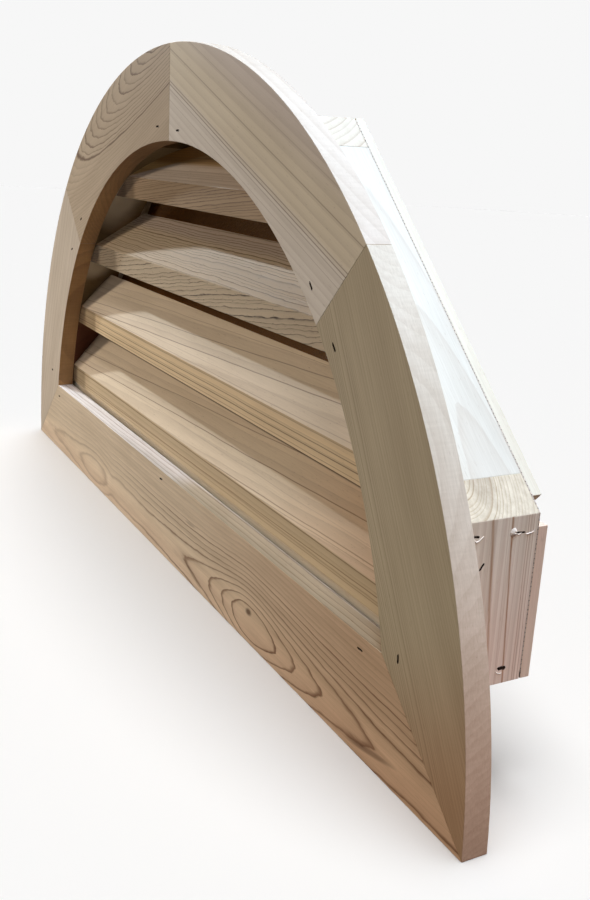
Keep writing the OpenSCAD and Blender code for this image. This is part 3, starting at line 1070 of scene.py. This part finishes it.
def add_ends():
    """Cut wires that stand out of the hem along the posts and the slopes."""
    mesh = bmesh.new()
    y = (SCREEN_LOW.y + SCREEN_HIGH.y) / 2
    for (x, z), (nx, nz) in SIDES[:2] + SIDES[3:5]:
        edge = Vector((nx - x, 0, nz - z))
        outward = Vector((edge.z, 0, -edge.x)).normalized()
        for i in range(1, int(edge.length / END_PITCH)):
            tip = Vector((x, y, z)) + edge.normalized() * END_PITCH * i
            add_wire(mesh, tip - outward * MM, tip + outward * END_OUT, END_R)
    piece = add_object("screen_ends", mesh, [plain("cut_yarn", (52, 34, 26), 0.8)])
    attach(piece, "root")


# ---------------------------------------------------------------- stage, lights and camera

CAMERA_PLACE = (0.88271, -0.35178, 0.35558)
CAMERA_TURN = (73.586, -2.8305, 62.4031)
CAMERA_LENS = 39.819
ROOM_R = 9.0
WHITE = 0.93
SENSOR = 36
SOFT = math.radians(40)
AIM = (0, 0, 0.15)


def paint(name, glow=0):
    """Pale matt paint, or a black one that glows, which looks even from every side."""
    material = bpy.data.materials.new(name)
    material.use_nodes = True
    shader = material.node_tree.nodes["Principled BSDF"]
    shader.inputs["Base Color"].default_value = (WHITE, WHITE, WHITE, 1)
    shader.inputs["Roughness"].default_value = 0.9
    shader.inputs["Specular IOR Level"].default_value = 0.0
    if glow:
        shader.inputs["Base Color"].default_value = (0, 0, 0, 1)
        shader.inputs["Emission Color"].default_value = (1, 1, 1, 1)
        shader.inputs["Emission Strength"].default_value = glow
    return material


def add_room():
    """A pale floor, which has a lamp of its own, under a plain dome that glows."""
    floor = bmesh.new()
    bmesh.ops.create_circle(floor, cap_ends=True, segments=128, radius=ROOM_R)
    floor = add_object("floor", floor, [paint("floor_paint")])
    dome = bmesh.new()
    bmesh.ops.create_uvsphere(dome, u_segments=64, v_segments=32, radius=ROOM_R)
    bmesh.ops.delete(dome, geom=[v for v in dome.verts if v.co.z < -0.1], context="VERTS")
    dome = add_object("backdrop", dome, [paint("backdrop_paint", WHITE)])
    for thing in (floor, dome):
        thing.location.z = FOOT_Z
        thing.visible_shadow = False
        thing.visible_diffuse = False
        thing.visible_glossy = False
    return floor


def add_light(kind, name, place, power, colour, receivers, target=AIM, **settings):
    """A lamp that shines on one collection only: the vent, its bottom frame board or the floor.

    An area lamp looks at the target. A sun only takes its direction from its place.
    """
    data = bpy.data.lights.new(name, kind)
    data.energy = power
    data.color = colour
    for key, value in settings.items():
        setattr(data, key, value)
    lamp = bpy.data.objects.new(name, data)
    lamp.location = place
    lamp.light_linking.receiver_collection = receivers
    bpy.context.scene.collection.objects.link(lamp)
    look = Vector(target if kind == "AREA" else (0, 0, 0)) - lamp.location
    lamp.rotation_euler = look.to_track_quat("-Z", "Y").to_euler()


def collection_of(name, things):
    made = bpy.data.collections.new(name)
    for thing in things:
        made.objects.link(thing)
    return made


def add_lights(floor):
    """The lamps for the vent, the lamp for its bottom frame board and the lamp for the floor."""
    meshes = [thing for thing in bpy.data.objects if thing.type == "MESH"]
    pieces = [thing for thing in meshes if thing.name not in ("floor", "backdrop")]
    vent = collection_of("lit_vent", pieces)
    sill = collection_of("lit_sill", [bpy.data.objects["frame_sill_board"]])
    ground = collection_of("lit_floor", [floor])
    # small and near, at the upper left: the arch throws a shadow with a firm edge on the louvers
    add_light("AREA", "lamp_left", (-0.942, -0.24, 0.79), 5.8, (0.86, 0.93, 0.99), vent,
              shape="DISK", size=0.032)
    # cool light from above and behind, on the tops of the boards
    add_light("AREA", "panel_behind", (0.6, 0.25, 1.4), 18.0, (0.46, 0.7, 1.0), vent,
              shape="DISK", size=0.5)
    # a weak lift for the shade, from the lower left
    add_light("AREA", "card_low", (-0.6, -0.7, -0.02), 1.7, (0.9, 0.86, 0.84), vent,
              shape="DISK", size=0.3)
    # warm light on the fronts, light from above on all tops, and warm light on the right sides
    add_light("SUN", "window_left", (-0.82, -1, 0.49), 0.94, (1.0, 0.84, 0.65), vent,
              angle=math.radians(8))
    add_light("SUN", "sky_above", (0.35, 0, 0.93), 2.74, (0.986, 0.966, 1.0), vent, angle=SOFT)
    add_light("SUN", "bounce_right", (1, 0.5, 0.1), 0.42, (1.0, 0.6, 0.5), vent, angle=SOFT)
    # a low strip in front of the bottom board
    add_light("AREA", "strip_low", (0, -0.34, -0.034), 0.3, (1.0, 0.95, 0.92), vent,
              target=(0, 0, 0.02), shape="RECTANGLE", size=1.1, size_y=0.12)
    # for the bottom frame board in the narrow groove behind the trim
    add_light("AREA", "strip_sill", (0.12, -0.4, 0.44), 1.5, (0.64, 0.82, 1.0), sill,
              target=(0.12, 0.004, 0.05), shape="RECTANGLE", size=0.8, size_y=0.1)
    # from behind, so that the back isn't dark
    add_light("SUN", "fill_back", (-0.3, 1, 0.35), 1.3, (1.0, 0.97, 0.94), vent, angle=SOFT)
    add_light("SUN", "floor_light", (0, 0, 1), math.pi, (1, 1, 1), ground, angle=SOFT)
    world = bpy.data.worlds.new("room_air")
    world.use_nodes = True
    bpy.context.scene.world = world
    world.node_tree.nodes["Background"].inputs["Strength"].default_value = 0.0


def add_camera():
    data = bpy.data.cameras.new("camera")
    data.lens = CAMERA_LENS
    data.sensor_width = SENSOR
    data.clip_start = 0.01
    viewer = bpy.data.objects.new("camera", data)
    viewer.location = CAMERA_PLACE
    viewer.rotation_euler = [math.radians(a) for a in CAMERA_TURN]
    bpy.context.scene.collection.objects.link(viewer)
    bpy.context.scene.camera = viewer
    bpy.context.scene.view_settings.view_transform = "Standard"


add_trim()
add_frame()
add_stops()
add_louvers()
add_battens()
add_cloth()
add_hem()
add_ends()
add_staples()
add_splinters()
for thing in [o for o in bpy.data.objects if o.name.startswith("cutter")]:
    bpy.data.objects.remove(thing)
add_lights(add_room())
add_camera()
